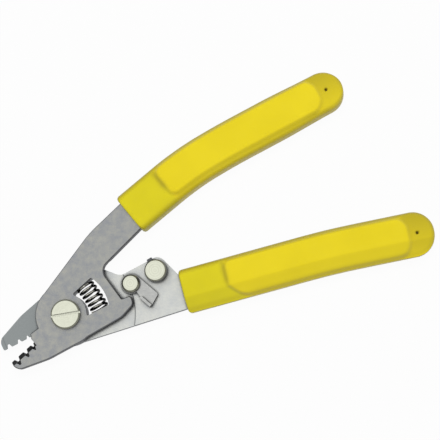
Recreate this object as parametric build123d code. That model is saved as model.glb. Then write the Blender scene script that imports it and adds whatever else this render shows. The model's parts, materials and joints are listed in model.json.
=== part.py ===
from build123d import *
import math
import os

# A three-hole stripper for glass-fibre cable: two plier levers on one pivot screw, a coil
# spring in a window through both, a small latch, a stop post with its key, and two grips.
# All lengths are in millimetres. Each lever is drawn in the closed pose, about the pivot,
# with +X along the closed handles and +Y towards the upper handle. The rear lever carries
# the lower handle and the upper jaw, the front lever the upper handle and the lower jaw.

# Poses, in degrees
rear_turn = 14.3          # the lower handle above the horizontal, as the tool lies
open_angle = 15.0         # from closed to the spring's rest
jaw_bend = 12.6           # the closed jaws' axis against the closed handles

# Lever plates
plate = 3.2               # thickness of each lever
lap_cut = 0.4             # depth milled from each plate where the two lie on each other
lap_radius = 25.6         # the milled face ends at this radius on the handle side
lap_gap = 0.05            # between the two milled faces
hub_radius = 11.6         # round of each plate about the pivot
edge_break = 0.3          # small chamfer round the plates' outer faces
nose_gap = 0.3            # between a plate's shoulder and the other's milled step

# Jaws, along the closed jaws' axis
jaw_reach = 27.0          # pivot to jaw tip
jaw_heel_x = 15.6         # where the back of a jaw bends towards the tip
jaw_heel_y = 8.0
jaw_tip_y = 3.3           # height of the back at the tip
jaw_tip_round = 3.0
nib_run = 1.4             # from the covering corner back to the cutting edge
blade_overlap = 0.85      # each cutting edge passes the jaws' axis by this much
blade_land = 0.35         # upright part of a cutting edge
bevel_run = 2.0           # how far the ground bevel runs back over the plate
nib_x = 14.6              # corner that covers the other jaw
nib_y = 3.65
# one row for each notch: distance from the pivot, radius of the hole, half its mouth
notches = [
    (24.6, 0.55, 0.95),
    (20.45, 0.45, 0.85),
    (16.95, 0.25, 0.65),
]
lobe_round = 0.35         # corners between the notches

# Pivot
pivot_diameter = 6.0
pivot_fit = 0.04          # radial clearance of the pivot in both levers
head_diameter = 11.0
head_height = 1.8
head_chamfer = 0.55
slot_width = 0.9
slot_depth = 1.0
slot_angle = 9.0
thread_diameter = 5.0
pivot_washer_diameter = 10.5
pivot_washer_thick = 0.5
nut_flats = 8.0
nut_height = 1.7
screw_beyond_nut = 0.1

# Spring and its window
spring_axis = 11.3        # pivot to the line through the middles of both seats
spring_diameter = 7.2
wire = 0.95
spring_turns = 6
closed_pitch = 1.3        # wire to wire in the last turn at each end
window_span = 53.0        # angle between the window's two seats at rest
window_inner = 7.7        # radius of the inner side
window_outer = 16.4       # radius of the outer side
window_corner = 0.5
seat_gap = 0.05

# Rear lever's lobe, its rivet and its post
rivet_beyond_lap = 0.95   # the latch rivet's centre, beyond the milled face's end
rivet_angle = 10.9
post_gap = 2.68           # between the post and the round of the latch
post_bearing = 11.6       # direction from the rivet to the post
lobe_before = 3.3         # the lobe's near corner, before the rivet
lobe_beyond = 2.3         # its top corner, beyond the post
lobe_foot = 3.4           # its last corner, below the post
lobe_to_grip = 0.3        # and before the grip's mouth
post_to_grip = 3.86       # post to the lower grip's mouth
lobe_fall = 0.75          # how far the top corner lies under the neck's line
stop_clearance = 0.3      # lobe to the front lever's neck when closed

# Latch and its rivet
rivet_shank = 3.4
rivet_fit = 0.05
rivet_head = 6.7
rivet_head_height = 1.6
rivet_chamfer = 0.65
rivet_tail = 5.4
rivet_tail_height = 0.9
latch_washer_thick = 0.3
latch_thick = 1.0
latch_hub = 3.7           # radius round the rivet
latch_length = 11.3       # rivet to the arm's end
latch_slant = 1.1         # the end's upper corner lies this much nearer
latch_corner = 0.7
latch_inner_corner = 0.2
latch_turn = -55.0        # the parked arm against the rear handle
latch_slack = 0.05        # above and below the latch plate
tab_length = 5.0          # thumb tab, bent up from the arm's lower side
tab_rise = 2.0
tab_out = 1.9             # how far the tab's outer face lies below the rivet's centre line
tab_root = 0.5            # relief beside the bend
boss_radius = 3.9         # full-height face left round the rivet

# Stop post and key
post_diameter = 8.1
post_height = 4.2         # above the rear lever's face
post_chamfer = 0.45
post_shank = 4.6
post_tail = 6.4
post_tail_height = 0.9
key_width = 2.0
key_height = 2.3
key_gap = 0.6             # to the front lever's neck when closed: the jaws meet first

# Necks and tangs, in the closed pose
neck_x = 38.04            # a point on the front neck's inner edge
neck_y = 13.7
neck_slope = 15.6         # direction of that edge
crotch_back = 6.6         # inner corner between neck and shoulder, before the milled face's end
nose_depth = 11.2         # pivot to the front lever's lower edge
nose_back = 8.1           # where that edge turns up, before the milled face's end
notch_back = 3.84         # shoulder's inner corner, before the milled face's end
tang_width = 9.2
tang_fit = 0.03
rear_tang_end = 128.0
front_tang_end = 121.0
rear_tang_y = -3.0
rear_tang_drop = 0.9      # the tang's end follows the grip's sag
front_tang_y = 25.2
front_tang_drop = 0.4
tang_start = 9.8          # from the rear grip's mouth to the tang's full width

# Grips
grip_width = 16.3
grip_half = 4.5           # half the thickness of collar and flanks
pad_rise = 1.25           # raised pad over the flanks, on both faces
pad_margin = 1.5          # flank left beside the pad's foot
pad_bevel = 1.6           # run of the pad's bevel
grip_edge = 1.8           # rounding along the flanks
grip_end_flat = 0.3       # left between the end's two roundings, on either side of the middle
collar_length = 16.5      # mouth to the pad
pad_end = 9.4             # pad's far end to the grip's end
pad_corner = 3.0          # rounding of the pad's four corners
vent_diameter = 1.4
vent_depth = 2.5
vent_back = 6.3           # vent to the grip's end
rear_mouth_y = -3.0
rear_bend_x = 100.0
rear_bend_y = -2.55
rear_grip_end = 138.7
rear_end_y = -4.8
front_mouth_x = 38.4
front_mouth_y = 20.8
front_bend_x = 64.5
front_bend_y = 25.5
front_crest_x = 80.0
front_crest_y = 26.0
front_grip_end = 131.1
front_end_y = 24.4
mouth_round = 0.8

far = 2 * rear_grip_end     # reaches past every piece
rivet_radius = lap_radius + rivet_beyond_lap
grip_end_round = grip_width / 2 - grip_end_flat
front_top = plate - lap_cut
rear_top = lap_cut
rear_bottom = lap_cut - plate
seat_tilt = (window_span - open_angle) / 2
post_spacing = latch_hub + post_gap + post_diameter / 2
rivet_x = rivet_radius * math.cos(math.radians(rivet_angle))
post_x = rivet_x + post_spacing * math.cos(math.radians(post_bearing))
rear_mouth_x = post_x + post_diameter / 2 + post_to_grip

# middle lines of the grips in the closed pose, each row a point and its rounding
rear_line = [
    (rear_mouth_x, rear_mouth_y, 0),
    (rear_bend_x, rear_bend_y, 300.0),
    (rear_grip_end, rear_end_y, 0),
]
front_line = [
    (front_mouth_x, front_mouth_y, 0),
    (front_bend_x, front_bend_y, 60.0),
    (front_crest_x, front_crest_y, 120.0),
    (front_grip_end, front_end_y, 0),
]


def polar(radius, angle):
    """A point at a radius and an angle in degrees about the pivot."""
    return radius * math.cos(math.radians(angle)), radius * math.sin(math.radians(angle))


def turned(point, angle):
    """The point turned about the pivot."""
    c = math.cos(math.radians(angle))
    s = math.sin(math.radians(angle))
    return point[0] * c - point[1] * s, point[0] * s + point[1] * c


def jaw_frame(points, side):
    """Points along the jaws' axis as closed-pose points; side -1 mirrors them for the lower jaw."""
    return [turned((x, side * y), jaw_bend) for x, y in points]


def outline(rows):
    """A closed face through corner points, each row a point and its rounding."""
    points = [(x, y) for x, y, r in rows]
    radii = [r for x, y, r in rows]
    return make_face(FilletPolyline(*points, radius=radii, close=True))


def slab(face, low, high):
    """The flat face as a solid between two heights."""
    return extrude(Pos(0, 0, low) * face, amount=high - low, dir=(0, 0, 1))


def neck_line(x):
    """Height of the front neck's inner edge, closed."""
    return neck_y + (x - neck_x) * math.tan(math.radians(neck_slope))


def jaw_face(side):
    """One jaw's flat outline, its cutting side straight."""
    back = [
        (0.0, hub_radius - 0.4, 0),
        (-2.44, hub_radius - 0.35, 0),
        (-jaw_heel_x, jaw_heel_y, 18.0),
        (-jaw_reach, jaw_tip_y, jaw_tip_round),
        (-jaw_reach, -blade_overlap, 0.5),
        (-nib_x - nib_run, -blade_overlap - lobe_round, 0.4),
        (-nib_x, -nib_y, 0.35),
        (-hub_radius + 1.2, -nib_y + 0.5, 0),
        (0.0, 0.0, 0),
    ]
    turned_points = jaw_frame([(x, y) for x, y, r in back], side)
    rows = [(p[0], p[1], row[2]) for p, row in zip(turned_points, back)]
    return outline(rows)


def notch_face(side):
    """What the grinder takes from one jaw's edge: three holes and their mouths."""
    taken = Pos(0, -jaw_reach / 2 - blade_overlap) * Rectangle(2 * jaw_reach, jaw_reach)
    edge = -blade_overlap
    for reach, radius, mouth in notches:
        rows = [
            (-reach - mouth - lobe_round, edge - 0.5),
            (-reach - mouth, edge),
            (-reach - radius, 0.0),
            (-reach + radius, 0.0),
            (-reach + mouth, edge),
            (-reach + mouth + lobe_round, edge - 0.5),
        ]
        taken += make_face(Polyline(*rows, close=True))
        taken += Pos(-reach, 0) * Circle(radius)
    corners = [v for v in taken.vertices() if abs(v.Y - edge) < 0.01 and abs(v.X) < jaw_reach - 0.1]
    taken = fillet(corners, lobe_round)
    taken -= Pos(jaw_reach - nib_x - nib_run + 0.4, 0) * Rectangle(2 * jaw_reach, 3 * jaw_reach)
    if side < 0:
        taken = mirror(taken, Plane.XZ)
    return Rot(0, 0, jaw_bend) * taken


def jaw_cut(side):
    """The notches' walls: an upright land at the lap face, then a bevel leaning back."""
    face = notch_face(side)
    low = -2 * lap_gap
    land = extrude(Pos(0, 0, low) * face, amount=blade_land - low, dir=(0, 0, 1))
    rise = front_top + 1.0 - blade_land
    run = bevel_run * rise / (front_top - blade_land)
    back = turned((0, side * run), jaw_bend)
    lean = Vector(back[0], back[1], rise)
    bevel = extrude(Pos(0, 0, blade_land) * face, amount=lean.length, dir=lean.normalized())
    cut = land + bevel
    if side > 0:
        cut = mirror(cut, Plane.XY)
    return cut


def window_face(side):
    """The spring's window in one lever: two round sides about the pivot, two seats."""
    middle = side * open_angle / 2 + jaw_bend
    handle_half = Rot(0, 0, middle) * Pos(far / 2, 0) * Rectangle(far, far)
    shape = (Circle(window_outer) - Circle(window_inner)) & handle_half
    for end in (1, -1):
        angle = middle + end * window_span / 2
        centre = polar(spring_axis / math.cos(math.radians(window_span / 2)), angle)
        seat = Pos(0, end * far / 2) * Rectangle(far, far)
        shape -= Pos(*centre) * Rot(0, 0, angle - end * seat_tilt) * seat
    return fillet(shape.vertices(), window_corner)


def nose_rows():
    """The shoulder that both plates have, as the front lever's closed-pose corners."""
    reach = lap_radius - nose_gap
    high = polar(reach - 0.3, -13.5)
    low = polar(reach + 0.1, -20.9)
    inner = polar(lap_radius - notch_back - nose_gap, -14.3)
    return [
        (lap_radius - nose_back, -nose_depth, 8.0),
        (low[0], low[1], 2.2),
        (high[0], high[1], 1.0),
        (inner[0], inner[1], 0.4),
    ]


def mirrored_nose():
    """The same shoulder on the rear lever, mirrored about the jaws' axis."""
    rows = []
    for x, y, r in nose_rows():
        px, py = turned((x, y), -jaw_bend)
        qx, qy = turned((px, -py), jaw_bend)
        rows.append((qx, qy, r))
    return rows


def rivet_place():
    """The latch rivet's centre, closed pose."""
    return polar(rivet_radius, rivet_angle)


def post_place():
    """The stop post's centre, set off from the rivet so that the latch turns clear of it."""
    x, y = polar(post_spacing, post_bearing)
    return rivet_place()[0] + x, rivet_place()[1] + y


def front_face():
    """The front lever's flat outline, closed pose."""
    low = front_tang_y - tang_width / 2
    high = front_tang_y + tang_width / 2
    rows = [(-1.0, -nose_depth, 0)] + nose_rows() + [
        (lap_radius - crotch_back, neck_line(lap_radius - crotch_back), 4.0),
        (56.0, neck_line(56.0), 20.0),
        (66.0, low, 20.0),
        (front_tang_end, low - front_tang_drop, 2.0),
        (front_tang_end, high - front_tang_drop, 2.0),
        (51.5, high, 10.0),
        (21.9, 22.35, 40.0),
        (-4.5, hub_radius - 1.05, 0),
        (0.0, 0.0, 0),
    ]
    return outline(rows) + Circle(hub_radius) + jaw_face(-1)


def rear_face():
    """The rear lever's flat outline, closed pose, with the lobe for rivet and post."""
    low = rear_tang_y - tang_width / 2
    high = rear_tang_y + tang_width / 2
    drop = stop_clearance / math.cos(math.radians(neck_slope))
    nose = mirrored_nose()
    near = rivet_place()[0] - lobe_before
    top = post_place()[0] + lobe_beyond
    rows = [
        (2.0, -hub_radius + 0.4, 0),
        (rear_mouth_x + 1.8, -9.1, 10.0),
        (rear_mouth_x + tang_start, low, 10.0),
        (rear_tang_end, low - rear_tang_drop, 2.0),
        (rear_tang_end, high - rear_tang_drop, 2.0),
        (rear_mouth_x + tang_start, high, 10.0),
        (rear_mouth_x - lobe_to_grip, post_place()[1] - lobe_foot, 1.6),
        (top, neck_line(top) - drop - lobe_fall, 3.2),
        (near, neck_line(near) - drop, 4.0),
        nose[3],
        nose[2],
        nose[1],
        nose[0],
        (-4.6, hub_radius - 1.05, 0),
        (0.0, 0.0, 0),
    ]
    return outline(rows) + Circle(hub_radius) + jaw_face(1)


def handle_side():
    """The region beyond the milled face, where a plate keeps its full thickness."""
    return Pos(far / 2, 0) * Rectangle(far, far) - Circle(lap_radius)


def edges_broken(body, height):
    """The body with a small chamfer round its flat face at that height."""
    rims = body.edges().filter_by(lambda e: abs(e.bounding_box().min.Z - height) < 0.001
                                  and abs(e.bounding_box().max.Z - height) < 0.001)
    return chamfer(rims, edge_break)


def lever_solid(face, cut, window):
    """A plate above the lap face, z up, with its full thickness on the handle side."""
    body = slab(face, lap_gap / 2, front_top)
    body += slab(face & handle_side(), -lap_cut, front_top)
    body = edges_broken(body, front_top)
    body -= slab(window, -plate, plate)
    body -= cut
    bore = Cylinder(pivot_diameter / 2 + pivot_fit, 4 * plate)
    return body - bore


def front_lever():
    """The upper handle's plate with the lower jaw, on top."""
    return lever_solid(front_face(), jaw_cut(-1), window_face(-1))


def rear_lever():
    """The lower handle's plate with the upper jaw, underneath, bored for rivet and post."""
    flat = rear_face()
    body = slab(flat, rear_bottom, -lap_gap / 2)
    body += slab(flat & handle_side(), rear_bottom, rear_top)
    rivet = rivet_place()
    post = post_place()
    boss = flat & (Pos(*rivet) * Circle(boss_radius))
    body += slab(boss, rear_bottom, rear_top)
    body = edges_broken(body, rear_bottom)
    body -= slab(window_face(1), -plate, plate)
    body -= jaw_cut(1)
    body -= Cylinder(pivot_diameter / 2 + pivot_fit, 4 * plate)
    body -= Pos(*rivet) * Cylinder(rivet_shank / 2 + tang_fit, 4 * plate)
    body -= Pos(*post) * Cylinder(post_shank / 2 + tang_fit, 4 * plate)
    return body


def disc(diameter, low, high):
    """A plain round disc between two heights."""
    return Pos(0, 0, (low + high) / 2) * Cylinder(diameter / 2, high - low)


def headed(diameter, low, high, bevel):
    """A round head with a chamfered top edge."""
    body = disc(diameter, low, high)
    return chamfer(body.edges().filter_by(GeomType.CIRCLE).sort_by(Axis.Z)[-1], bevel)


def pivot_screw():
    """The slotted pivot screw: head, smooth shank, threaded end."""
    seat = front_top + lap_gap
    end = rear_bottom - pivot_washer_thick - nut_height - screw_beyond_nut
    body = headed(head_diameter, seat, seat + head_height, head_chamfer)
    body += disc(pivot_diameter, rear_bottom, seat)
    body += disc(thread_diameter, end, rear_bottom)
    slot = Box(head_diameter + 1, slot_width, 2 * slot_depth)
    return body - Pos(0, 0, seat + head_height) * Rot(0, 0, slot_angle) * slot


def pivot_washer():
    """The flat washer under the nut."""
    low = rear_bottom - pivot_washer_thick
    return disc(pivot_washer_diameter, low, rear_bottom) - disc(thread_diameter + 2 * pivot_fit, low - 1, rear_bottom + 1)


def pivot_nut():
    """The thin hexagon nut on the back, with chamfered corners."""
    high = rear_bottom - pivot_washer_thick
    low = high - nut_height
    hexagon = RegularPolygon(nut_flats / 2, 6, major_radius=False)
    body = slab(hexagon, low, high)
    body &= headed(nut_flats * 2 / math.sqrt(3), -high, -low, 0.5).mirror(Plane.XY)
    return body - disc(thread_diameter + 2 * pivot_fit, low - 1, high + 1)


def spring_path():
    """The wire's middle line: a coil about an arc that meets both seats squarely."""
    half = math.radians(open_angle / 2)
    chord = spring_axis * math.tan(math.radians(window_span / 2))
    bend = chord / math.sin(half)
    centre = spring_axis - bend * math.cos(half)
    mean = (spring_diameter - wire) / 2
    reach = half - math.asin((wire / 2 + seat_gap) / (bend - mean))
    free_pitch = (2 * reach * bend - 2 * closed_pitch) / (spring_turns - 2)
    steps = 12 * spring_turns
    points = []
    for i in range(steps + 1):
        turn = i * spring_turns / steps
        run = closed_pitch * min(turn, 1.0)
        run += free_pitch * min(max(turn - 1.0, 0.0), spring_turns - 2)
        run += closed_pitch * max(turn - spring_turns + 1.0, 0.0)
        lean = run / bend - reach
        away = bend + mean * math.cos(math.pi + 2 * math.pi * turn)
        height = mean * math.sin(math.pi + 2 * math.pi * turn)
        points.append((centre + away * math.cos(lean), away * math.sin(lean), height))
    return Spline(*points)


def return_spring():
    """The coil spring as a wound wire between the two seats, closed pose of the rear lever."""
    path = spring_path()
    coil = sweep(Plane(origin=path @ 0, z_dir=path % 0) * Circle(wire / 2), path=path)
    return Rot(0, 0, open_angle / 2 + jaw_bend) * coil


def at_rivet(shape):
    """The shape, drawn about the rivet, put at the rivet's place in the closed pose."""
    return Pos(*rivet_place()) * shape


def latch_low():
    """Height of the latch plate's underside."""
    return rear_top + latch_washer_thick + latch_slack


def latch_washer():
    """The thin washer between latch and rear lever."""
    low = rear_top
    high = rear_top + latch_washer_thick
    ring = disc(rivet_head, low, high) - disc(rivet_shank + 2 * rivet_fit, low - 1, high + 1)
    return at_rivet(ring)


def latch_lever():
    """The latch: a flat arm on the rivet with a thumb tab bent up along its lower side."""
    low = latch_low()
    high = low + latch_thick
    middle = latch_thick / 2 - tab_out
    arm = outline([
        (0.0, 0.0, 0),
        (0.0, latch_hub, 0),
        (latch_length - latch_slant, latch_hub, latch_corner),
        (latch_length, middle, latch_inner_corner),
        (latch_length - tab_length - tab_root, middle, latch_inner_corner),
    ])
    body = slab(arm + Circle(latch_hub), low, high)
    tab_middle = latch_length - tab_length / 2
    tab = Pos(tab_middle, middle, (low + high + tab_rise) / 2) * Box(
        tab_length, latch_thick, latch_thick + tab_rise)
    body += tab
    body -= disc(rivet_shank + 2 * rivet_fit, low - 1, high + 1)
    return at_rivet(Rot(0, 0, latch_turn) * body)


def latch_rivet():
    """The latch's rivet: chamfered head, shank, and a formed tail behind the lever."""
    seat = latch_low() + latch_thick + latch_slack
    body = headed(rivet_head, seat, seat + rivet_head_height, rivet_chamfer)
    body += disc(rivet_shank, rear_bottom, seat)
    tail = headed(rivet_tail, -rear_bottom, -rear_bottom + rivet_tail_height, 0.3)
    return at_rivet(body + tail.mirror(Plane.XY))


def at_post(shape):
    """The shape, drawn about the post, put at the post's place in the closed pose."""
    return Pos(*post_place()) * shape


def stop_post():
    """The stout post on the lobe, with a formed tail behind the lever."""
    body = headed(post_diameter, rear_top, rear_top + post_height, post_chamfer)
    body += disc(post_shank, rear_bottom, rear_top)
    tail = headed(post_tail, -rear_bottom, -rear_bottom + post_tail_height, 0.3)
    return at_post(body + tail.mirror(Plane.XY))


def stop_key():
    """The small key beside the post, whose end meets the front lever's neck when closed."""
    px, py = post_place()
    reach = (neck_line(px) - py) * math.cos(math.radians(neck_slope)) - key_gap
    body = Pos(reach / 2, 0, rear_top + key_height / 2) * Box(reach, key_width, key_height)
    body = Rot(0, 0, neck_slope + 90.0) * body
    return at_post(body - disc(post_diameter + 2 * tang_fit, rear_top - 1, rear_top + key_height + 1))


def grip_body(flank, pad, vent, tang):
    """A moulded grip from its outlines: rounded flanks, a pad on each face, a vent, the tang's slot."""
    body = slab(flank, -grip_half, grip_half)
    rims = body.edges().filter_by(lambda e: abs(abs(e.center().Z) - grip_half) < 0.01)
    body = fillet(rims, grip_edge)
    top = grip_half + pad_rise
    raised = slab(pad, 0.0, top)
    rims = raised.edges().filter_by(lambda e: abs(e.center().Z - top) < 0.01)
    raised = chamfer(rims, pad_rise, pad_bevel)
    body += raised
    body += raised.mirror(Plane.XY)
    body -= Pos(vent[0], vent[1], top - vent_depth / 2) * Cylinder(vent_diameter / 2, vent_depth)
    return body - tang


def ribbon(line, width, first_round, last_round):
    """A flat outline about a middle line, with its own roundings at either end."""
    points = [(x, y) for x, y, r in line]
    high, low = [], []
    for i, (x, y, r) in enumerate(line):
        before = points[max(i - 1, 0)]
        after = points[min(i + 1, len(points) - 1)]
        heading = math.atan2(after[1] - before[1], after[0] - before[0])
        sx, sy = -math.sin(heading) * width / 2, math.cos(heading) * width / 2
        rounding = first_round if i == 0 else last_round if i == len(line) - 1 else r
        high.append((x + sx, y + sy, rounding))
        low.append((x - sx, y - sy, rounding))
    return outline(high + low[::-1])


def along(line, run):
    """The point that lies a run along the line from its first point."""
    (ax, ay, ar), (bx, by, br) = line[:2]
    share = run / math.hypot(bx - ax, by - ay)
    return ax + (bx - ax) * share, ay + (by - ay) * share


def flank_face(line):
    """A grip's flat outline: square mouth, round end."""
    return ribbon(line, grip_width, mouth_round, grip_end_round)


def pad_face(line):
    """The foot of a grip's raised pad, along the same middle line."""
    first = along(line, collar_length)
    last = along(line[::-1], pad_end)
    inner = [(first[0], first[1], 0)] + line[1:-1] + [(last[0], last[1], 0)]
    return ribbon(inner, grip_width - 2 * pad_margin, pad_corner, pad_corner)


def grip_on(line, lever, low, high):
    """A grip along a middle line, moulded round the tang that its lever has."""
    grown = offset(lever, amount=tang_fit)
    tang = slab(grown, low - tang_fit, high + tang_fit)
    return grip_body(flank_face(line), pad_face(line), along(line[::-1], vent_back), tang)


def lower_grip():
    """The rear lever's grip."""
    return grip_on(rear_line, rear_face(), rear_bottom, rear_top)


def upper_grip():
    """The front lever's grip."""
    return grip_on(front_line, front_face(), -lap_cut, front_top)


def assembly():
    """Every piece in the pose in which the tool lies, about the pivot."""
    rear = Rot(0, 0, rear_turn)
    front = Rot(0, 0, rear_turn + open_angle)
    return {
        "rear_lever": rear * rear_lever(),
        "front_lever": front * front_lever(),
        "pivot_screw": pivot_screw(),
        "pivot_washer": pivot_washer(),
        "pivot_nut": pivot_nut(),
        "return_spring": rear * return_spring(),
        "latch_lever": rear * latch_lever(),
        "latch_rivet": rear * latch_rivet(),
        "latch_washer": rear * latch_washer(),
        "stop_post": rear * stop_post(),
        "stop_key": rear * stop_key(),
        "lower_grip": rear * lower_grip(),
        "upper_grip": front * upper_grip(),
    }


def placed():
    """The pieces with the origin under the middle of the tool, on the surface it lies on."""
    pieces = assembly()
    boxes = [piece.bounding_box() for piece in pieces.values()]
    x = (min(b.min.X for b in boxes) + max(b.max.X for b in boxes)) / 2
    y = (min(b.min.Y for b in boxes) + max(b.max.Y for b in boxes)) / 2
    z = min(b.min.Z for b in boxes)
    return {name: Pos(-x, -y, -z) * piece for name, piece in pieces.items()}, (-x, -y, -z)


def main():
    """Write each piece to its own file."""
    os.makedirs("parts", exist_ok=True)
    pieces, pivot = placed()
    print("pivot at", [round(v, 4) for v in pivot])
    for name, piece in pieces.items():
        solids = piece.solids()
        print(name, len(solids), [round(s.volume, 1) for s in solids])
        body = solids[0] if len(solids) == 1 else Compound(children=solids)
        export_step(body, "parts/" + name + ".step")


main()
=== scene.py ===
# %% [markdown]
# # A three-hole fibre stripper
# This lesson dresses a finished CAD model of a hand stripper for glass-fibre cable. The
# steel parts are already exact, so most cells give them the finish that the real ones have.
# The soft yellow grips and the return spring are built anew as meshes.

# %% Load the frame and measure it
import bpy
import bmesh
import json
import math
from mathutils import Matrix, Vector


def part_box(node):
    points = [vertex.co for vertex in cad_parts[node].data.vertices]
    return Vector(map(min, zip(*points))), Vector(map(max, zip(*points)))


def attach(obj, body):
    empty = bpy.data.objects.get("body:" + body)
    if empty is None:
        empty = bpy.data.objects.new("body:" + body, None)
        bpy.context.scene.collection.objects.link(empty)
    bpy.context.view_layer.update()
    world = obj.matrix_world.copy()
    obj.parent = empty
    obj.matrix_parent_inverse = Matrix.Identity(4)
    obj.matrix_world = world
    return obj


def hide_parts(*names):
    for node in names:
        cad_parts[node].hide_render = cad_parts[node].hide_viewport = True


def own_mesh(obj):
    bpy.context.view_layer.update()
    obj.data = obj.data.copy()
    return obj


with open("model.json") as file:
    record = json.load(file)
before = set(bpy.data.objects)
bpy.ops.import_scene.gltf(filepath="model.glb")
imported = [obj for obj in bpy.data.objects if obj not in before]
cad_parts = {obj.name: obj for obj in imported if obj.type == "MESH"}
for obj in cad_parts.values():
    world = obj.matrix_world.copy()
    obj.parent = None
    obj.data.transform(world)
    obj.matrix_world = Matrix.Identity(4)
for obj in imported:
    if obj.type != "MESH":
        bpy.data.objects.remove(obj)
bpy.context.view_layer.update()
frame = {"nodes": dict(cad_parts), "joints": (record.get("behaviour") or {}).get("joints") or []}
nodes = frame["nodes"]
MM = 0.001

# %% [markdown]
# The pivot is the natural place to measure from: every other size of a plier is drawn about
# it. The frame's joints know where it is, so we read it from there.

# %% Find the pivot and the rivet
joints = {j["name"]: j for j in frame["joints"]}
pivot = Vector(joints["lever_pivot"]["pos_m"])
rivet = Vector(joints["latch_pivot"]["pos_m"])
print("pivot", pivot, "rivet", rivet)

# %% [markdown]
# ## Camera
# The photograph was taken almost from straight above, with the camera a little towards the
# jaws' foot and to the right. We describe it by the point it looks at, by a direction and by
# a distance, because those can be changed one at a time.

# %% Place the camera
bpy.context.scene.view_settings.view_transform = "Standard"
VIEW_PX = 440             # the picture's side in pixels
TARGET_FROM_PIVOT = Vector((56.95, 34.86, 0.0)) * MM
TILT_X = 6.0              # degrees to the right
TILT_Y = 9.0              # degrees towards the picture's foot
DISTANCE = 0.600          # metres
MM_PER_PX = 0.371         # how much of the tool one pixel shows
SEEN_WIDTH = MM_PER_PX * VIEW_PX * MM

camera_data = bpy.data.cameras.new("camera")
camera_data.sensor_width = 36.0
camera_data.lens = 36.0 * DISTANCE / SEEN_WIDTH
camera_data.clip_start = 0.01
camera = bpy.data.objects.new("camera", camera_data)
bpy.context.scene.collection.objects.link(camera)
bpy.context.scene.camera = camera

tilt_x, tilt_y = math.radians(TILT_X), math.radians(TILT_Y)
towards = Vector((math.sin(tilt_x), -math.sin(tilt_y), 0.0))
towards.z = math.sqrt(1.0 - towards.length_squared)
right = Vector((0.0, 1.0, 0.0)).cross(towards).normalized()
up = towards.cross(right)
target = pivot + TARGET_FROM_PIVOT
turn = Matrix((right, up, towards)).transposed().to_4x4()
camera.matrix_world = Matrix.Translation(target + towards * DISTANCE) @ turn
print("camera at", camera.matrix_world.translation)

# %% [markdown]
# ## Helpers for materials
# A colour picked on a screen is stored as sRGB, while a shader works in linear light, so one
# function turns a hex value into what the shader wants. Another adds a node: its settings
# come by name, and each of its inputs is either a plain value or a socket to link.

# %% Colour and node helpers
def linear(hex_value):
    """A colour written as #RRGGBB, as the linear values that shaders use."""
    parts = [int(hex_value[i:i + 2], 16) / 255 for i in (1, 3, 5)]
    parts = [p / 12.92 if p <= 0.04045 else ((p + 0.055) / 1.055) ** 2.4 for p in parts]
    return (parts[0], parts[1], parts[2], 1.0)


def add(tree, kind, inputs=None, **settings):
    """One node with its settings and its inputs, each a plain value or a socket to link."""
    node = tree.nodes.new(kind)
    for key, value in settings.items():
        setattr(node, key, value)
    for key, value in (inputs or {}).items():
        if isinstance(value, bpy.types.NodeSocket):
            tree.links.new(value, node.inputs[key])
        else:
            node.inputs[key].default_value = value
    return node


def new_material(name):
    """An empty node material: its tree, its shader and the place on the object in metres."""
    material = bpy.data.materials.new(name)
    material.use_nodes = True
    tree = material.node_tree
    tree.nodes.clear()
    shader = add(tree, "ShaderNodeBsdfPrincipled")
    add(tree, "ShaderNodeOutputMaterial", {"Surface": shader.outputs[0]})
    place = add(tree, "ShaderNodeTexCoord").outputs["Object"]
    return material, tree, shader, place


print("linear mid grey", linear("#808080"))

# %% [markdown]
# ## Which face is it?
# The levers are stamped from plate. The flat faces are tumbled and bright. The upright walls
# round them are coloured dark, which is painted shade. The small chamfer between the two is
# drawn a light grey on the rear lever, and dark, as painted shade, on the front one and on the
# small pieces. Which of the three a face is can be read from its normal: upright walls have no
# Z in it, flat faces have nothing else.
# The corner where one piece stands on another, about a millimetre wide, is darkened as well,
# which is painted shade. Ambient occlusion finds those corners: it tells how much open sky a
# point sees nearby.

# %% Painted shade on walls, chamfers and corners
WALL_NORMAL = (0.30, 0.52)     # how much Z a normal has, from a wall to a chamfer
CHAMFER_NORMAL = (0.93, 0.98)  # the same, from a chamfer to a flat face
OPEN_SKY = (0.55, 0.90)        # share of open sky, from an oily corner to a clean face
# The share below is how much of the steel the painted shade hides in a corner.
CORNER_SHADE_SHARE = 0.75               # how much of the steel the oil hides in a corner


def painted_wall_and_edge_shade(tree, colour, wall_shade, edge, edge_shade_share):
    """The flat faces' colour, with painted shade on upright walls and the edge colour on chamfers.
    """
    normal = add(tree, "ShaderNodeNewGeometry").outputs["True Normal"]
    z = add(tree, "ShaderNodeSeparateXYZ", {0: normal}).outputs["Z"]
    flat = add(tree, "ShaderNodeMath", {0: z}, operation="ABSOLUTE").outputs[0]
    edge_shade_mask = add(tree, "ShaderNodeMapRange", {
        "Value": flat, "From Min": CHAMFER_NORMAL[0], "From Max": CHAMFER_NORMAL[1],
        "To Min": edge_shade_share, "To Max": 0.0}).outputs[0]
    wall_shade_mask = add(tree, "ShaderNodeMapRange", {
        "Value": flat, "From Min": WALL_NORMAL[0], "From Max": WALL_NORMAL[1],
        "To Min": 1.0, "To Max": 0.0}).outputs[0]
    colour = add(tree, "ShaderNodeMix", {
        0: edge_shade_mask, 6: colour, 7: linear(edge)}, data_type="RGBA").outputs[2]
    colour = add(tree, "ShaderNodeMix", {
        0: wall_shade_mask, 6: colour, 7: linear(wall_shade)}, data_type="RGBA").outputs[2]
    return colour, flat


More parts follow.
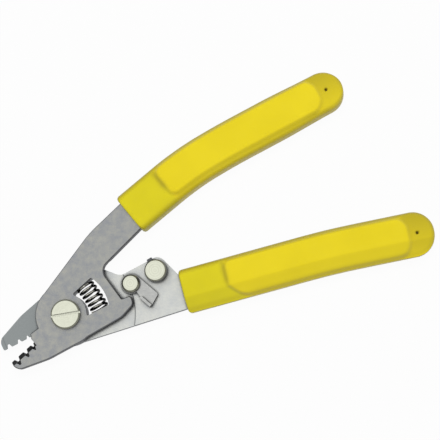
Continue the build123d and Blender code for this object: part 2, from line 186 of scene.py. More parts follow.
def painted_corner_shade(tree, colour, dark, reach):
    """The colour with a dark line of painted shade where another piece or a wall stands close by.
    """
    sky = add(tree, "ShaderNodeAmbientOcclusion", {"Distance": reach}, samples=8).outputs["AO"]
    corner_shade = add(tree, "ShaderNodeMapRange", {
        "Value": sky, "From Min": OPEN_SKY[0], "From Max": OPEN_SKY[1],
        "To Min": CORNER_SHADE_SHARE, "To Max": 0.0}).outputs[0]
    return add(tree, "ShaderNodeMix", {
        0: corner_shade, 6: colour, 7: linear(dark)}, data_type="RGBA").outputs[2]


print("faces sorted by their normals")

# %% [markdown]
# ## Tumbled carbon steel
# Tumbling with abrasive stones leaves a soft satin with cloudy patches some millimetres wide,
# bluish in the dark ones and warm in the light ones, and fine nicks. The clouds are one noise
# with lumps of a few millimetres, and a second one of half a millimetre breaks them up.

# %% Tumbled steel
NICK_SIZE = 0.5 * MM      # the real nicks are finer, drawn coarser so that they show
WORN_EDGE = 0.15 * MM     # radius that tumbling and handling leave on an edge


def tumbled_steel(name, cool, warm, cloud_mm, roughness):
    """Satin steel with cool and warm clouds and fine nicks; its colour isn't linked yet."""
    material, tree, shader, place = new_material(name)
    cloud = add(tree, "ShaderNodeTexNoise", {
        "Vector": place, "Scale": 1 / (cloud_mm * MM),
        "Detail": 5.0, "Roughness": 0.66}).outputs["Fac"]
    nicks = add(tree, "ShaderNodeTexNoise", {
        "Vector": place, "Scale": 1 / NICK_SIZE, "Detail": 3.0, "Roughness": 0.6}).outputs["Fac"]
    both = add(tree, "ShaderNodeMix", {0: 0.32, 2: cloud, 3: nicks}).outputs[0]
    share = add(tree, "ShaderNodeMapRange", {
        "Value": both, "From Min": 0.36, "From Max": 0.64}).outputs[0]
    colour = add(tree, "ShaderNodeMix", {
        0: share, 6: linear(cool), 7: linear(warm)}, data_type="RGBA").outputs[2]
    rough = add(tree, "ShaderNodeMapRange", {
        "Value": nicks, "To Min": roughness - 0.06, "To Max": roughness + 0.10}).outputs[0]
    tree.links.new(rough, shader.inputs["Roughness"])
    rounded = add(tree, "ShaderNodeBevel", {"Radius": WORN_EDGE}, samples=4).outputs[0]
    relief = add(tree, "ShaderNodeBump", {
        "Distance": 0.012 * MM, "Height": nicks, "Normal": rounded}).outputs[0]
    tree.links.new(relief, shader.inputs["Normal"])
    shader.inputs["Metallic"].default_value = 1.0
    return material, tree, shader, place, colour


front_steel, front_tree, front_shader, front_place, front_colour = tumbled_steel(
    "tumbled_carbon_steel_front", "#96999E", "#AEAEA7", 2.6, 0.44)
rear_steel, rear_tree, rear_shader, rear_place, rear_colour = tumbled_steel(
    "tumbled_carbon_steel_rear", "#C9CCCC", "#DBDCD6", 3.4, 0.42)
print("levers' steel made")

# %% [markdown]
# The jaws have a finish of their own. The rear jaw is hardened to an even blue grey. It is the
# same piece of steel as its lever, so its finish changes with the place on the part: the
# distance from the pivot along the jaw is a dot product with its heading. Where the lap ends,
# a thin dark ring round the pivot stands for the shade of its step, painted shade, and its
# distance is a plain length.

# %% Hardened rear jaw and the lap step's painted shade
REAR_JAW_ANGLE = 206.9    # degrees from +X to the jaw's tip, as the tool lies
JAW_GREY_FROM = 5.0 * MM  # from the pivot, where the rear jaw's even grey begins
JAW_GREY_FULL = 7.0 * MM  # and where it is full
LAP_RADIUS = 25.6 * MM    # from the pivot to the line
LAP_SHADE_HALF_WIDTH = 0.18 * MM      # half the line's width


def reach_along(tree, place, angle):
    """Distance from the pivot along a direction in the plates' plane."""
    heading = (math.cos(math.radians(angle)), math.sin(math.radians(angle)), 0.0)
    away = add(tree, "ShaderNodeVectorMath", {
        0: place, 1: tuple(pivot)}, operation="SUBTRACT").outputs[0]
    return add(tree, "ShaderNodeVectorMath", {
        0: away, 1: heading}, operation="DOT_PRODUCT").outputs["Value"]


def reach_from(tree, place, axis):
    """Distance from an upright axis in the plates' plane."""
    away = add(tree, "ShaderNodeVectorMath", {
        0: place, 1: tuple(axis)}, operation="SUBTRACT").outputs[0]
    away = add(tree, "ShaderNodeVectorMath", {
        0: away, 1: (1.0, 1.0, 0.0)}, operation="MULTIPLY").outputs[0]
    return add(tree, "ShaderNodeVectorMath", {0: away}, operation="LENGTH").outputs["Value"]


hard = add(rear_tree, "ShaderNodeMapRange", {
    "Value": reach_along(rear_tree, rear_place, REAR_JAW_ANGLE),
    "From Min": JAW_GREY_FROM, "From Max": JAW_GREY_FULL}).outputs[0]
rear_colour = add(rear_tree, "ShaderNodeMix", {
    0: hard, 6: rear_colour, 7: linear("#939898")}, data_type="RGBA").outputs[2]
# Painted shade: a thin dark ring round the pivot where the lap's step stands.
lap_step_shade = add(rear_tree, "ShaderNodeMath", {
    0: reach_from(rear_tree, rear_place, pivot), 1: LAP_RADIUS, 2: LAP_SHADE_HALF_WIDTH},
    operation="COMPARE").outputs[0]
lap_step_shade = add(rear_tree, "ShaderNodeMath", {0: lap_step_shade, 1: 0.6}, operation="MULTIPLY").outputs[0]
rear_colour = add(rear_tree, "ShaderNodeMix", {
    0: lap_step_shade, 6: rear_colour, 7: linear("#7B7E80")}, data_type="RGBA").outputs[2]
# Painted shade in the corners where other pieces stand on the rear lever.
rear_colour = painted_corner_shade(rear_tree, rear_colour, "#2E2F33", 1.3 * MM)
# Painted shade on the rear lever's upright walls; its chamfers get a light grey.
rear_colour = painted_wall_and_edge_shade(rear_tree, rear_colour, "#55585B", "#C9CAC6", 0.35)[0]
rear_tree.links.new(rear_colour, rear_shader.inputs["Base Color"])
print("rear lever finished")

# %% [markdown]
# The holes of the front jaw are ground at a slant, which leaves a steep band. The band is
# coloured near black, painted shade for a slope that lies in shadow. A second material would
# mean picking its faces by hand. A rule finds them instead: they lie past a distance along the
# jaw, near the cutting line, and they lean.

# %% Ground holes of the front jaw
FRONT_JAW_ANGLE = 221.9   # degrees from +X to the jaw's tip, as the tool lies
GROUND_FROM = 15.2 * MM   # from the pivot, where the ground holes begin
GROUND_HALF = 3.0 * MM    # to either side of the cutting line that the grinder reached
GROUND_NORMAL = 0.95      # Z of the normal, below which a face there is ground

# Painted shade on the front lever's upright walls and chamfers.
front_colour, front_flat = painted_wall_and_edge_shade(front_tree, front_colour, "#35363B", "#4A4A50", 0.75)
past = add(front_tree, "ShaderNodeMath", {
    0: reach_along(front_tree, front_place, FRONT_JAW_ANGLE), 1: GROUND_FROM},
    operation="GREATER_THAN").outputs[0]
across = add(front_tree, "ShaderNodeMath", {
    0: reach_along(front_tree, front_place, FRONT_JAW_ANGLE + 90.0)},
    operation="ABSOLUTE").outputs[0]
near_line = add(front_tree, "ShaderNodeMath", {
    0: across, 1: GROUND_HALF}, operation="LESS_THAN").outputs[0]
leaning = add(front_tree, "ShaderNodeMath", {
    0: front_flat, 1: GROUND_NORMAL}, operation="LESS_THAN").outputs[0]
ground_band_shade = add(front_tree, "ShaderNodeMath", {0: past, 1: near_line}, operation="MULTIPLY").outputs[0]
ground_band_shade = add(front_tree, "ShaderNodeMath", {0: ground_band_shade, 1: leaning}, operation="MULTIPLY").outputs[0]
# Painted shade: the ground band is coloured near black.
front_colour = add(front_tree, "ShaderNodeMix", {
    0: ground_band_shade, 6: front_colour, 7: linear("#101113")}, data_type="RGBA").outputs[2]
front_tree.links.new(front_colour, front_shader.inputs["Base Color"])
print("front lever finished")

# %% [markdown]
# ## Turned and nickel plated faces
# The pivot screw, the rivet and the post were faced on a lathe and then plated with nickel,
# whose white is warm and creamy. A lathe leaves rings, drawn here as coarse as they need to
# show: a cosine of the distance from the piece's own axis. Each piece has its own centre, and
# so its own material.

# %% Turned nickel plate
RING_PITCH = 0.9 * MM     # the real ones are about 0.1 mm, too fine to show
PLATE_PATCH = 1.6 * MM    # size of the plating's faint patches


def turned_nickel(name, centre, ring_share):
    """Creamy nickel with lathe rings about a centre."""
    material, tree, shader, place = new_material(name)
    phase = add(tree, "ShaderNodeMath", {
        0: reach_from(tree, place, centre), 1: 2 * math.pi / RING_PITCH},
        operation="MULTIPLY").outputs[0]
    wave = add(tree, "ShaderNodeMath", {0: phase}, operation="COSINE").outputs[0]
    ring = add(tree, "ShaderNodeMapRange", {"Value": wave, "From Min": -1.0}).outputs[0]
    patch = add(tree, "ShaderNodeTexNoise", {
        "Vector": place, "Scale": 1 / PLATE_PATCH, "Detail": 3.0, "Roughness": 0.6}).outputs["Fac"]
    share = add(tree, "ShaderNodeMix", {0: ring_share, 2: patch, 3: ring}).outputs[0]
    colour = add(tree, "ShaderNodeMix", {
        0: share, 6: linear("#D2D4C2"), 7: linear("#EBEDDB")}, data_type="RGBA").outputs[2]
    # Painted shade on the upright walls and chamfers of the turned pieces.
    colour = painted_wall_and_edge_shade(tree, colour, "#3A3A34", "#5C5C50", 0.85)[0]
    tree.links.new(colour, shader.inputs["Base Color"])
    rough = add(tree, "ShaderNodeMapRange", {
        "Value": patch, "To Min": 0.26, "To Max": 0.40}).outputs[0]
    tree.links.new(rough, shader.inputs["Roughness"])
    rounded = add(tree, "ShaderNodeBevel", {"Radius": WORN_EDGE}, samples=4).outputs[0]
    relief = add(tree, "ShaderNodeBump", {
        "Distance": 0.008 * MM, "Height": ring, "Normal": rounded}).outputs[0]
    tree.links.new(relief, shader.inputs["Normal"])
    shader.inputs["Metallic"].default_value = 1.0
    return material


post_low, post_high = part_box("stop_post")
post_centre = (Vector(post_low) + Vector(post_high)) / 2
screw_nickel = turned_nickel("turned_nickel_plate_screw", pivot, 0.10)
rivet_nickel = turned_nickel("turned_nickel_plate_rivet", rivet, 0.45)
post_nickel = turned_nickel("turned_nickel_plate_post", post_centre, 0.40)
print("turned faces made, post at", post_centre)

# %% [markdown]
# ## Cold rolled strip
# The latch and the washers are stamped from cold rolled strip, which is smoother than the
# levers and keeps faint lines along its rolling direction: a noise stretched along one way.
# The key beside the post is dark from hardening. The nut on the back is plated with zinc,
# which has the same fine grain and a bluish white.

# %% Rolled, hardened and zinc plated steel
ROLLING_LINE = 0.35 * MM  # width of a line, drawn coarser than real so that it shows
ROLLING_STRETCH = 0.15    # a line's width over its length
STRIP_PATCH = 2.5 * MM    # size of the strip's lighter and darker patches
STRIP_EDGE = 0.12 * MM    # radius of its worn edge


def rolled_strip(name, light, dark, wall_shade, roughness, angle):
    """Steel with faint lines along its rolling direction."""
    material, tree, shader, place = new_material(name)
    turned = add(tree, "ShaderNodeMapping", {
        "Vector": place, "Rotation": (0, 0, math.radians(angle)),
        "Scale": (ROLLING_STRETCH, 1.0, 1.0)}).outputs[0]
    line = add(tree, "ShaderNodeTexNoise", {
        "Vector": turned, "Scale": 1 / ROLLING_LINE,
        "Detail": 4.0, "Roughness": 0.6}).outputs["Fac"]
    patch = add(tree, "ShaderNodeTexNoise", {
        "Vector": place, "Scale": 1 / STRIP_PATCH, "Detail": 3.0, "Roughness": 0.55}).outputs["Fac"]
    share = add(tree, "ShaderNodeMix", {0: 0.5, 2: line, 3: patch}).outputs[0]
    share = add(tree, "ShaderNodeMapRange", {
        "Value": share, "From Min": 0.35, "From Max": 0.65}).outputs[0]
    colour = add(tree, "ShaderNodeMix", {
        0: share, 6: linear(dark), 7: linear(light)}, data_type="RGBA").outputs[2]
    # Painted shade in the corners where the strip meets other pieces.
    colour = painted_corner_shade(tree, colour, wall_shade, 0.9 * MM)
    # Painted shade on the strip's upright walls and chamfers.
    colour = painted_wall_and_edge_shade(tree, colour, wall_shade, wall_shade, 0.6)[0]
    tree.links.new(colour, shader.inputs["Base Color"])
    rough = add(tree, "ShaderNodeMapRange", {
        "Value": share, "To Min": roughness - 0.05, "To Max": roughness + 0.08}).outputs[0]
    tree.links.new(rough, shader.inputs["Roughness"])
    rounded = add(tree, "ShaderNodeBevel", {"Radius": STRIP_EDGE}, samples=4).outputs[0]
    relief = add(tree, "ShaderNodeBump", {
        "Distance": 0.008 * MM, "Height": line, "Normal": rounded}).outputs[0]
    tree.links.new(relief, shader.inputs["Normal"])
    shader.inputs["Metallic"].default_value = 1.0
    return material


latch_steel = rolled_strip("cold_rolled_steel_latch", "#C9CAC6", "#AEAFAE", "#232326", 0.34, 41.0)
washer_steel = rolled_strip("cold_rolled_steel_washer", "#B3B4B4", "#94979A", "#2C2D2F", 0.36, 10.0)
key_steel = rolled_strip("hardened_steel_key", "#6E7072", "#4A4C4F", "#131415", 0.42, 0.0)
zinc_plate = rolled_strip("zinc_plated_steel_back", "#C4C8CC", "#A5AAB0", "#6E7276", 0.32, 0.0)
print("small steel made")

# %% [markdown]
# ## Spring wire
# The music wire is coloured almost black, which is painted shade for the dark surroundings
# that it reflects, and gets a painted highlight along the top of each turn, broken into spots.

# %% Music wire with painted shade and highlight
# The painted highlight below is broken into spots of this size.
HIGHLIGHT_SPOT_SIZE = 0.8 * MM   # size of the spots where the oil is gone

wire_steel, wire_tree, wire_shader, wire_place = new_material("music_wire_painted_highlight")
wire_normal = add(wire_tree, "ShaderNodeNewGeometry").outputs["Normal"]
wire_z = add(wire_tree, "ShaderNodeSeparateXYZ", {0: wire_normal}).outputs["Z"]
wire_patch = add(wire_tree, "ShaderNodeTexNoise", {
    "Vector": wire_place, "Scale": 1 / HIGHLIGHT_SPOT_SIZE, "Detail": 3.0}).outputs["Fac"]
wire_top_highlight = add(wire_tree, "ShaderNodeMapRange", {
    "Value": wire_z, "From Min": 0.80, "From Max": 0.99}).outputs[0]
highlight_spots = add(wire_tree, "ShaderNodeMapRange", {
    "Value": wire_patch, "From Min": 0.40, "From Max": 0.58, "To Min": 0.35}).outputs[0]
wire_highlight_share = add(wire_tree, "ShaderNodeMath", {
    0: wire_top_highlight, 1: highlight_spots}, operation="MULTIPLY").outputs[0]
# Near black as painted shade, with a painted highlight along the top of each turn.
wire_colour = add(wire_tree, "ShaderNodeMix", {
    0: wire_highlight_share, 6: linear("#0A0A0B"), 7: linear("#D5D3C8")}, data_type="RGBA").outputs[2]
wire_tree.links.new(wire_colour, wire_shader.inputs["Base Color"])
wire_shader.inputs["Metallic"].default_value = 1.0
wire_shader.inputs["Roughness"].default_value = 0.30
print("spring wire made")

# %% [markdown]
# ## Soft PVC
# The grips are moulded soft PVC. It has a waxy gloss with a shallow unevenness that breaks up
# the highlight. The pad is a full yellow and the collar a little greener. The edges, the
# shoulder and the end behind the pad get an olive painted shade, strongest on the upper side,
# and the vent hole a dark brown painted shade. How far each point of a grip is pad, shade or
# vent is stored in the mesh, and the material reads it from there.

# %% Grip plastic
COLOUR_CLOUD = 14 * MM    # how far the yellow's faint changes reach
SKIN_WAVE = 3.5 * MM      # the waxy unevenness
SKIN_GRAIN = 0.4 * MM     # the mould's grain, which is finer, drawn coarser so that it shows


def soft_pvc(name):
    """Waxy yellow PVC, with the pad, the collar, the olive painted shade and the vent told apart by
    the mesh.
    """
    material, tree, shader, place = new_material(name)
    cloud = add(tree, "ShaderNodeTexNoise", {
        "Vector": place, "Scale": 1 / COLOUR_CLOUD, "Detail": 2.0}).outputs["Fac"]
    skin = add(tree, "ShaderNodeTexNoise", {
        "Vector": place, "Scale": 1 / SKIN_WAVE, "Detail": 2.0, "Roughness": 0.45}).outputs["Fac"]
    grain = add(tree, "ShaderNodeTexNoise", {
        "Vector": place, "Scale": 1 / SKIN_GRAIN, "Detail": 2.0}).outputs["Fac"]
    pad = add(tree, "ShaderNodeAttribute", attribute_name="pad").outputs["Fac"]
    olive_shade = add(tree, "ShaderNodeAttribute", attribute_name="olive_shade").outputs["Fac"]
    vent = add(tree, "ShaderNodeAttribute", attribute_name="vent").outputs["Fac"]
    cloud = add(tree, "ShaderNodeMapRange", {
        "Value": cloud, "From Min": 0.35, "From Max": 0.65}).outputs[0]
    full = add(tree, "ShaderNodeMix", {
        0: cloud, 6: linear("#E1CC08"), 7: linear("#E6D10F")}, data_type="RGBA").outputs[2]
    green = add(tree, "ShaderNodeMix", {
        0: cloud, 6: linear("#D3C608"), 7: linear("#DACD0F")}, data_type="RGBA").outputs[2]
    colour = add(tree, "ShaderNodeMix", {0: pad, 6: green, 7: full}, data_type="RGBA").outputs[2]
    # Painted shade: olive on the edges, the shoulder and the sunk end.
    colour = add(tree, "ShaderNodeMix", {
        0: olive_shade, 6: colour, 7: linear("#A8980F")}, data_type="RGBA").outputs[2]
    # Painted shade: the vent hole is coloured dark brown.
    colour = add(tree, "ShaderNodeMix", {
        0: vent, 6: colour, 7: linear("#241505")}, data_type="RGBA").outputs[2]
    tree.links.new(colour, shader.inputs["Base Color"])
    rough = add(tree, "ShaderNodeMapRange", {
        "Value": skin, "To Min": 0.36, "To Max": 0.50}).outputs[0]
    tree.links.new(rough, shader.inputs["Roughness"])
    waves = add(tree, "ShaderNodeMix", {0: 0.3, 2: skin, 3: grain}).outputs[0]
    relief = add(tree, "ShaderNodeBump", {"Distance": 0.035 * MM, "Height": waves}).outputs[0]
    tree.links.new(relief, shader.inputs["Normal"])
    shader.inputs["IOR"].default_value = 1.52
    return material


grip_pvc = soft_pvc("soft_pvc_yellow")
print("grip plastic made")

# %% [markdown]
# Now every CAD piece gets the finish of the real one. The CAD grips and the CAD spring get
# theirs too, although the meshes built below take their places.

# %% Give each CAD node its finish
for name, material in {
    "front_lever": front_steel, "rear_lever": rear_steel, "pivot_screw": screw_nickel,
    "pivot_washer": washer_steel, "pivot_nut": zinc_plate, "return_spring": wire_steel,
    "latch_lever": latch_steel, "latch_rivet": rivet_nickel, "latch_washer": washer_steel,
    "stop_post": post_nickel, "stop_key": key_steel, "lower_grip": grip_pvc, "upper_grip": grip_pvc,
}.items():
    nodes[name].data.materials.clear()
    nodes[name].data.materials.append(material)
print("materials on", len(nodes), "nodes")

# %% [markdown]
# ## Grips
# Each grip is one soft moulding on its lever: a flat collar, a shoulder, a long raised pad
# and a rounded end with a small vent hole. Soft steps like these are hard to model by hand
# but easy to describe by distances, so a grip is made as two height fields, one above and
# one below, over the same flat outline. The outline is laid along a bent middle line, which
# is walked in small steps while its heading turns evenly through each bend.

# %% The bent middle line
STEP = 0.25               # mm


def middle_line(points, roundings, lever_angle):
    """A function from (run, side, height) in mm to a place in the frame, and the line's length."""
    headings = [math.atan2(b[1] - a[1], b[0] - a[0]) for a, b in zip(points, points[1:])]
    lengths = [math.dist(a, b) for a, b in zip(points, points[1:])]
    bends = []
    for i in range(1, len(headings)):
        change = headings[i] - headings[i - 1]
        bends.append((sum(lengths[:i]), roundings[i - 1] * math.tan(abs(change) / 2), change))

    def heading(run):
        angle = headings[0]
        for place, half, change in bends:
            angle += change * min(max((run - place + half) / (2 * half), 0.0), 1.0)
        return angle

    x, y = points[0]
    track = []
    for i in range(int(sum(lengths) / STEP) + 2):
        track.append((x, y, heading(i * STEP)))
        x += STEP * math.cos(heading((i + 0.5) * STEP))
        y += STEP * math.sin(heading((i + 0.5) * STEP))
    cos, sin = math.cos(math.radians(lever_angle)), math.sin(math.radians(lever_angle))

    def place(run, side, height):
        k = min(int(run / STEP), len(track) - 2)
        t = run / STEP - k
        px, py, angle = [a + (b - a) * t for a, b in zip(track[k], track[k + 1])]
        px, py = px - side * math.sin(angle), py + side * math.cos(angle)
        return pivot + Vector((px * cos - py * sin, px * sin + py * cos, height)) * MM

    return place, sum(lengths)


lower_place, lower_length = middle_line(
    [(44.17, -3.0), (100.0, -2.55), (138.7, -4.8)], [300.0], 14.3)
upper_place, upper_length = middle_line(
    [(38.4, 20.8), (64.5, 25.5), (80.0, 26.0), (131.1, 24.4)], [120.0, 300.0], 29.3)
print("grips are", round(lower_length, 1), "and", round(upper_length, 1), "mm long")

# %% [markdown]
# A rounded rectangle's distance field gives both the grip's outline and its pad. Positive
# values lie inside, so dividing by a bevel's width turns them into a ramp from 0 to 1.

# %% Distances and soft steps
def inside(run, side, box, first_round, last_round):
    """Distance in mm into a rounded rectangle, negative outside it."""
    low_run, high_run, low_side, high_side = box
    off_run = run - (low_run + high_run) / 2
    radius = last_round if off_run > 0 else first_round
    a = abs(off_run) - (high_run - low_run) / 2 + radius
    b = abs(side - (low_side + high_side) / 2) - (high_side - low_side) / 2 + radius
    return radius - min(max(a, b), 0.0) - math.hypot(max(a, 0.0), max(b, 0.0))


def soft_ramp(x, softness):
    """Nought below zero and x above it, with a soft bend between."""
    return 0.5 * (x + math.sqrt(x * x + softness * softness))


def smooth_step(x):
    """From nought to one with level ends."""
    x = min(max(x, 0.0), 1.0)
    return x * x * (3 - 2 * x)


print("soft ramp at zero", soft_ramp(0.0, 0.1))

# %% [markdown]
# The pad runs close to the grip's upper side and stops short of the lower one. On the lower
# grip a broad slope takes it down from a crease, on the upper grip a short steep lip does.
# Three places get an olive painted shade, which the olive shade share marks: the rounded
# edges, darker on the upper side, the shoulder where the pad starts, and the sunk end round
# the vent hole.

# %% The face of a grip
HALF_WIDTH = 8.15         # mm, as in the CAD grips
HALF_THICK = 4.5
PAD_RISE = 1.25
PAD_HIGH = 6.9            # where the pad's upper slope ends, from the middle line
PAD_FIRST_ROUND = 3.5     # the pad's corners next to the collar
PAD_LAST_ROUND = 5.4      # and next to the tip
WALL = 1.6                # half height left of the upright flank
EDGE = 1.8                # run of the rounded edge
END_ROUND = 7.85
COLLAR = 16.5             # mouth to pad
PAD_END = 9.0             # pad to tip
VENT_BACK = 6.3
VENT_RADIUS = 0.5
LOWER_SHAPE = {"crease": -2.6, "pad_low": -8.15, "fall": 0.52, "facet": 0.9, "taper": 0.0}
UPPER_SHAPE = {"crease": -5.2, "pad_low": -6.4, "fall": 0.12, "facet": 0.0, "taper": 0.5}


def grip_face(run, side, half, length, shape):
    """Height above the middle plane in mm, and the full yellow, olive shade and vent shade shares.
    """
    edge = inside(run, side, (-20.0, length, -HALF_WIDTH, HALF_WIDTH), 1.0, END_ROUND)
    edge = max(min(edge, half - abs(side)), 0.0)
    below = max(shape["crease"] - side, 0.0)
    pad_box = (COLLAR + shape["facet"] * below, length - PAD_END, shape["pad_low"], PAD_HIGH)
    into = inside(run, side, pad_box, PAD_FIRST_ROUND, PAD_LAST_ROUND)
    pad = smooth_step((into + 0.5) / 1.8)
    height = HALF_THICK + PAD_RISE * pad
    height -= shape["fall"] * soft_ramp(shape["crease"] - side, 0.25)
    height -= 0.13 * soft_ramp(run - length + PAD_END, 1.5)
    near = min(edge / EDGE, 1.0)
    height -= (height - WALL) * (1 - math.sqrt(near * (2 - near)))
    mouth = min(run / 0.8, 1.0)
    height -= 0.8 * (1 - math.sqrt(mouth * (2 - mouth)))
    # The vent hole is only a shallow dip; its dark brown colour is painted shade.
    hole = math.hypot(run - length + VENT_BACK, side) / VENT_RADIUS
    vent = smooth_step(1.6 - hole)
    height -= 1.4 * smooth_step(1.5 - hole)
    # Painted shade: olive on the rounded edges, the shoulder and the sunk end, darker on the upper
    # side.
    upper_side = 0.5 + 0.5 * side / HALF_WIDTH
    end_shade = smooth_step((run - length + PAD_END + 5.0) / 4.0) * (1 - pad)
    rim_shade = (1 - smooth_step((edge - 0.5) / 2.2)) * (0.25 + 0.70 * upper_side)
    shoulder_shade = 0.6 * math.exp(-((run - COLLAR - 0.1) / 1.1) ** 2)
    shoulder_shade *= smooth_step((side + 3.5) / 4.0)
    olive_shade = max(end_shade * (0.10 + 0.75 * upper_side), rim_shade, shoulder_shade)
    full = smooth_step((run - COLLAR - shape["facet"] * below) / 1.5)
    return height, full, olive_shade, vent


middle_height = grip_face(50.0, 0.0, HALF_WIDTH, lower_length, LOWER_SHAPE)[0]
print("mid height", round(middle_height, 2), "mm")

# %% [markdown]
# Rows of points run across the grip from edge to edge. Their spacing follows a sine, so they
# crowd together where the surface turns over the edge and lie wider apart on the flat pad.
# Towards the tip the rows get shorter as the outline closes.

# %% Build a grip
ACROSS = 72               # faces from edge to edge
END_ROWS = 28             # rows round the tip
MOUTH_ROUND = 1.3         # mm, the corners of the mouth
TAPER_RUN = 30.0          # mm before the tip, where the upper grip starts to narrow


def grip_rows(length, taper):
    """Runs of the rows along a grip, each with the outline's half width."""
    straight = length - END_ROUND
    runs = [0.0, 0.04, 0.12, 0.25, 0.45, 0.8]
    count = int((straight - 0.8) / 0.5)
    runs += [0.8 + (straight - 0.8) * (i + 1) / count for i in range(count)]
    rows = []
    for run in runs:
        short = max(MOUTH_ROUND - run, 0.0)
        corner = MOUTH_ROUND - math.sqrt(MOUTH_ROUND ** 2 - short ** 2)
        narrow = taper * smooth_step((run - length + TAPER_RUN) / (TAPER_RUN - END_ROUND))
        rows.append((run, HALF_WIDTH - corner - narrow))
    flat = HALF_WIDTH - taper - END_ROUND
    for i in range(1, END_ROWS + 1):
        angle = math.radians(90.0 * i / END_ROWS)
        half = max(flat + END_ROUND * math.cos(angle), 0.05)
        rows.append((straight + END_ROUND * math.sin(angle), half))
    return rows


def build_grip(name, place, length, shape, body, node):
    """A grip's mesh from its height fields, riding on its lever in place of the CAD grip."""
    bm = bmesh.new()
    marks = {key: bm.verts.layers.float.new(key) for key in ("pad", "olive_shade", "vent")}
    sheets = {1: [], -1: []}
    for run, half in grip_rows(length, shape["taper"]):
        for face in (1, -1):
            row = []
            for j in range(ACROSS + 1):
                side = half * math.sin(math.pi * (j / ACROSS - 0.5))
                height, full, olive_shade, vent = grip_face(run, side, half, length, shape)
                vert = bm.verts.new(place(run, side, face * height))
                vert[marks["pad"]], vert[marks["olive_shade"]], vert[marks["vent"]] = full, olive_shade, vent
                row.append(vert)
            sheets[face].append(row)
    top, under = sheets[1], sheets[-1]
    for a, b, c, d in zip(top, top[1:], under, under[1:]):
        for j in range(ACROSS):
            bm.faces.new((a[j], b[j], b[j + 1], a[j + 1]))
            bm.faces.new((c[j], c[j + 1], d[j + 1], d[j]))
        bm.faces.new((a[0], c[0], d[0], b[0]))
        bm.faces.new((a[-1], b[-1], d[-1], c[-1]))
    for j in range(ACROSS):
        bm.faces.new((top[0][j], top[0][j + 1], under[0][j + 1], under[0][j]))
        bm.faces.new((top[-1][j], under[-1][j], under[-1][j + 1], top[-1][j + 1]))
    bmesh.ops.recalc_face_normals(bm, faces=bm.faces)
    for face in bm.faces:
        face.smooth = True
    mesh = bpy.data.meshes.new(name)
    bm.to_mesh(mesh)
    bm.free()
    mesh.materials.append(grip_pvc)
    grip = bpy.data.objects.new(name, mesh)
    bpy.context.scene.collection.objects.link(grip)
    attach(grip, body)
    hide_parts(node)
    print(name, len(mesh.vertices), "points")


build_grip("lower_grip_moulding", lower_place, lower_length, LOWER_SHAPE,
           "rear_handle", "lower_grip")
build_grip("upper_grip_moulding", upper_place, upper_length, UPPER_SHAPE,
           "front_handle", "upper_grip")

# %% [markdown]
# ## Return spring
# A compression coil with closed ends sits in the window through both levers. It bends a
# little, because the seats at its ends lean towards each other. The wire is a ring of points
# carried along the coil, so that it is a real mesh that can shorten as the handles close.

# %% The coil's middle line
SEAT_CHORD = 11.3         # mm from the pivot to the line between both seats
SEAT_SPAN = 53.0          # degrees between the seats
SEAT_LEAN = 15.0          # degrees between the seats' planes
COIL_RADIUS = 3.125       # to the wire's middle
WIRE_RADIUS = 0.475
TURNS = 6
CLOSED_PITCH = 1.3
MIDDLE_ANGLE = 34.4       # direction from the pivot to the spring's middle


def coil_point(turn):
    """The wire's middle after that many turns, in mm from the pivot."""
    half = math.radians(SEAT_LEAN / 2)
    bend = SEAT_CHORD * math.tan(math.radians(SEAT_SPAN / 2)) / math.sin(half)
    reach = half - math.asin((WIRE_RADIUS + 0.05) / (bend - COIL_RADIUS))
    free = (2 * reach * bend - 2 * CLOSED_PITCH) / (TURNS - 2)
    run = CLOSED_PITCH * min(turn, 1.0) + free * min(max(turn - 1.0, 0.0), TURNS - 2)
    run += CLOSED_PITCH * max(turn - TURNS + 1.0, 0.0)
    lean = run / bend - reach
    phase = math.pi + 2 * math.pi * turn
    away = bend + COIL_RADIUS * math.cos(phase)
    across = SEAT_CHORD - bend * math.cos(half) + away * math.cos(lean)
    return Vector((across, away * math.sin(lean), COIL_RADIUS * math.sin(phase)))


print("first point", coil_point(0.0))

# %% [markdown]
# A curve with a round bevel would draw the same wire, but its points come only once it is
# turned into a mesh. Here each ring is placed at once, square to the coil at its own point,
# so we choose how many points there are.

# %% Wind the spring
STEPS_PER_TURN = 40
WIRE_SIDES = 14           # points in a ring
middle_turn = Matrix.Rotation(math.radians(MIDDLE_ANGLE), 3, "Z")


def wind_spring(name, steps, around):
    """The spring's wire as a tube of rings along the coil."""
    line = [coil_point(i * TURNS / steps) for i in range(steps + 1)]
    bm = bmesh.new()
    rings = []
    for i, point in enumerate(line):
        ahead = (line[min(i + 1, steps)] - line[max(i - 1, 0)]).normalized()
        across = ahead.cross(Vector((0, 0, 1))).normalized()
        over = across.cross(ahead)
        ring = []
        for k in range(around):
            angle = 2 * math.pi * k / around
            offset = (across * math.cos(angle) + over * math.sin(angle)) * WIRE_RADIUS
            ring.append(bm.verts.new(pivot + middle_turn @ (point + offset) * MM))
        rings.append(ring)
    for a, b in zip(rings, rings[1:]):
        for k in range(around):
            bm.faces.new((a[k], a[(k + 1) % around], b[(k + 1) % around], b[k]))
    bm.faces.new(rings[0][::-1])
    bm.faces.new(rings[-1])
    bmesh.ops.recalc_face_normals(bm, faces=bm.faces)
    for face in bm.faces:
        face.smooth = len(face.verts) == 4
    mesh = bpy.data.meshes.new(name)
    bm.to_mesh(mesh)
    bm.free()
    mesh.materials.append(wire_steel)
    spring = bpy.data.objects.new(name, mesh)
    bpy.context.scene.collection.objects.link(spring)
    return spring


spring = wind_spring("return_spring_wire", STEPS_PER_TURN * TURNS, WIRE_SIDES)
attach(spring, "rear_handle")
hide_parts("return_spring")
print("spring wound in", TURNS, "turns")

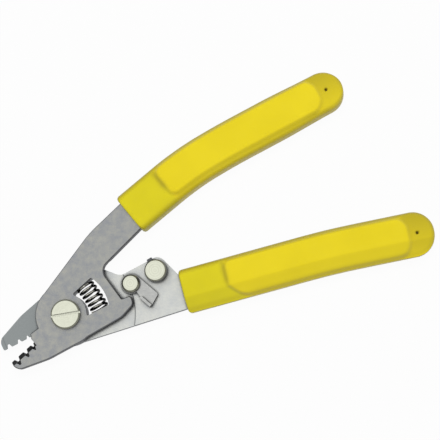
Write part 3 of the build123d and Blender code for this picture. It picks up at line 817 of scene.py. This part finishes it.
# %% [markdown]
# As the handles close, the spring shortens from its lower seat along its own axis. The upper
# seat also turns, which a straight squash can't follow, and its outer side comes nearest, so
# the spring could shorten to 0.66 of its length before that side touches it. This cell only
# finds the lower seat and gives the spring a mesh of its own; it doesn't shorten the spring.

# %% Find the spring's lower seat
spring_seat = Vector((SEAT_CHORD, -SEAT_CHORD * math.tan(math.radians(SEAT_SPAN / 2)), 0)) * MM
spring_seat = pivot + middle_turn @ spring_seat
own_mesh(spring)
print("spring seat", spring_seat)

# %% [markdown]
# ## Floor and light
# The photograph has a plain white ground with hardly a shadow. The floor looks white to the
# camera and in reflections, and is a matt sheet to every other ray. A small share of the
# sheet shows through the white, and that share keeps the tool's shadow.

# %% White ground
WHITE_SHARE = 0.96        # the rest is the sheet, which carries the shadow


def seen_directly(tree):
    """One for rays from the camera, from a reflection or through glass, else nought."""
    rays = add(tree, "ShaderNodeLightPath").outputs
    seen = add(tree, "ShaderNodeMath", {
        0: rays["Is Camera Ray"], 1: rays["Is Glossy Ray"]}, operation="MAXIMUM").outputs[0]
    return add(tree, "ShaderNodeMath", {
        0: seen, 1: rays["Is Transmission Ray"]}, operation="MAXIMUM").outputs[0]


ground_material, ground_tree, ground_shader = new_material("matt_white_sheet")[:3]
ground_shader.inputs["Base Color"].default_value = linear("#C8C8C8")
ground_shader.inputs["Roughness"].default_value = 0.9
white = add(ground_tree, "ShaderNodeEmission", {
    "Color": linear("#FFFFFF"), "Strength": 1.0}).outputs[0]
share = add(ground_tree, "ShaderNodeMath", {
    0: seen_directly(ground_tree), 1: WHITE_SHARE}, operation="MULTIPLY").outputs[0]
both = add(ground_tree, "ShaderNodeMixShader", {
    0: share, 1: ground_shader.outputs[0], 2: white}).outputs[0]
ground_tree.links.new(both, ground_tree.nodes["Material Output"].inputs["Surface"])
print("ground white for", WHITE_SHARE)

# %% [markdown]
# The floor is one large square. It lies a tenth of a millimetre under the tool, so that the
# two never share a plane, and it reaches so far that no edge of it comes into the picture.

# %% Lay the floor
HALF_FLOOR = 3.0          # metres
FLOOR_DROP = 0.1 * MM
corners = [(-HALF_FLOOR, -HALF_FLOOR, 0), (HALF_FLOOR, -HALF_FLOOR, 0),
           (HALF_FLOOR, HALF_FLOOR, 0), (-HALF_FLOOR, HALF_FLOOR, 0)]
floor_mesh = bpy.data.meshes.new("floor")
floor_mesh.from_pydata(corners, [], [(0, 1, 2, 3)])
floor_mesh.materials.append(ground_material)
floor = bpy.data.objects.new("floor", floor_mesh)
floor.location.z = -FLOOR_DROP
bpy.context.scene.collection.objects.link(floor)
print("floor made")

# %% [markdown]
# One soft box hangs nearly overhead, a little beyond the tool, and a weak even sky fills the
# rest. So a surface gets darker the more it leans, and the grips' slopes and edges stand out.

# %% World and lamp
SKY_STRENGTH = 0.34
BOX_SIDE = 0.40           # metres
BOX_PLACE = (0.05, 0.22, 1.00)
BOX_POWER = 7.5           # watts

world = bpy.data.worlds.new("studio")
bpy.context.scene.world = world
world.use_nodes = True
world_tree = world.node_tree
world_tree.nodes.clear()
sky = add(world_tree, "ShaderNodeBackground", {
    "Color": linear("#FFFFFF"), "Strength": SKY_STRENGTH}).outputs[0]
plain = add(world_tree, "ShaderNodeBackground", {
    "Color": linear("#FFFFFF"), "Strength": 1.0}).outputs[0]
both = add(world_tree, "ShaderNodeMixShader", {
    0: seen_directly(world_tree), 1: sky, 2: plain}).outputs[0]
add(world_tree, "ShaderNodeOutputWorld", {"Surface": both})

lamp_data = bpy.data.lights.new("soft_box", "AREA")
lamp_data.shape = "SQUARE"
lamp_data.size = BOX_SIDE
lamp_data.energy = BOX_POWER
lamp = bpy.data.objects.new("soft_box", lamp_data)
lamp.location = BOX_PLACE
lamp.rotation_euler = (target - lamp.location).to_track_quat("-Z", "Y").to_euler()
lamp.visible_glossy = False
bpy.context.scene.collection.objects.link(lamp)
print("studio lit")
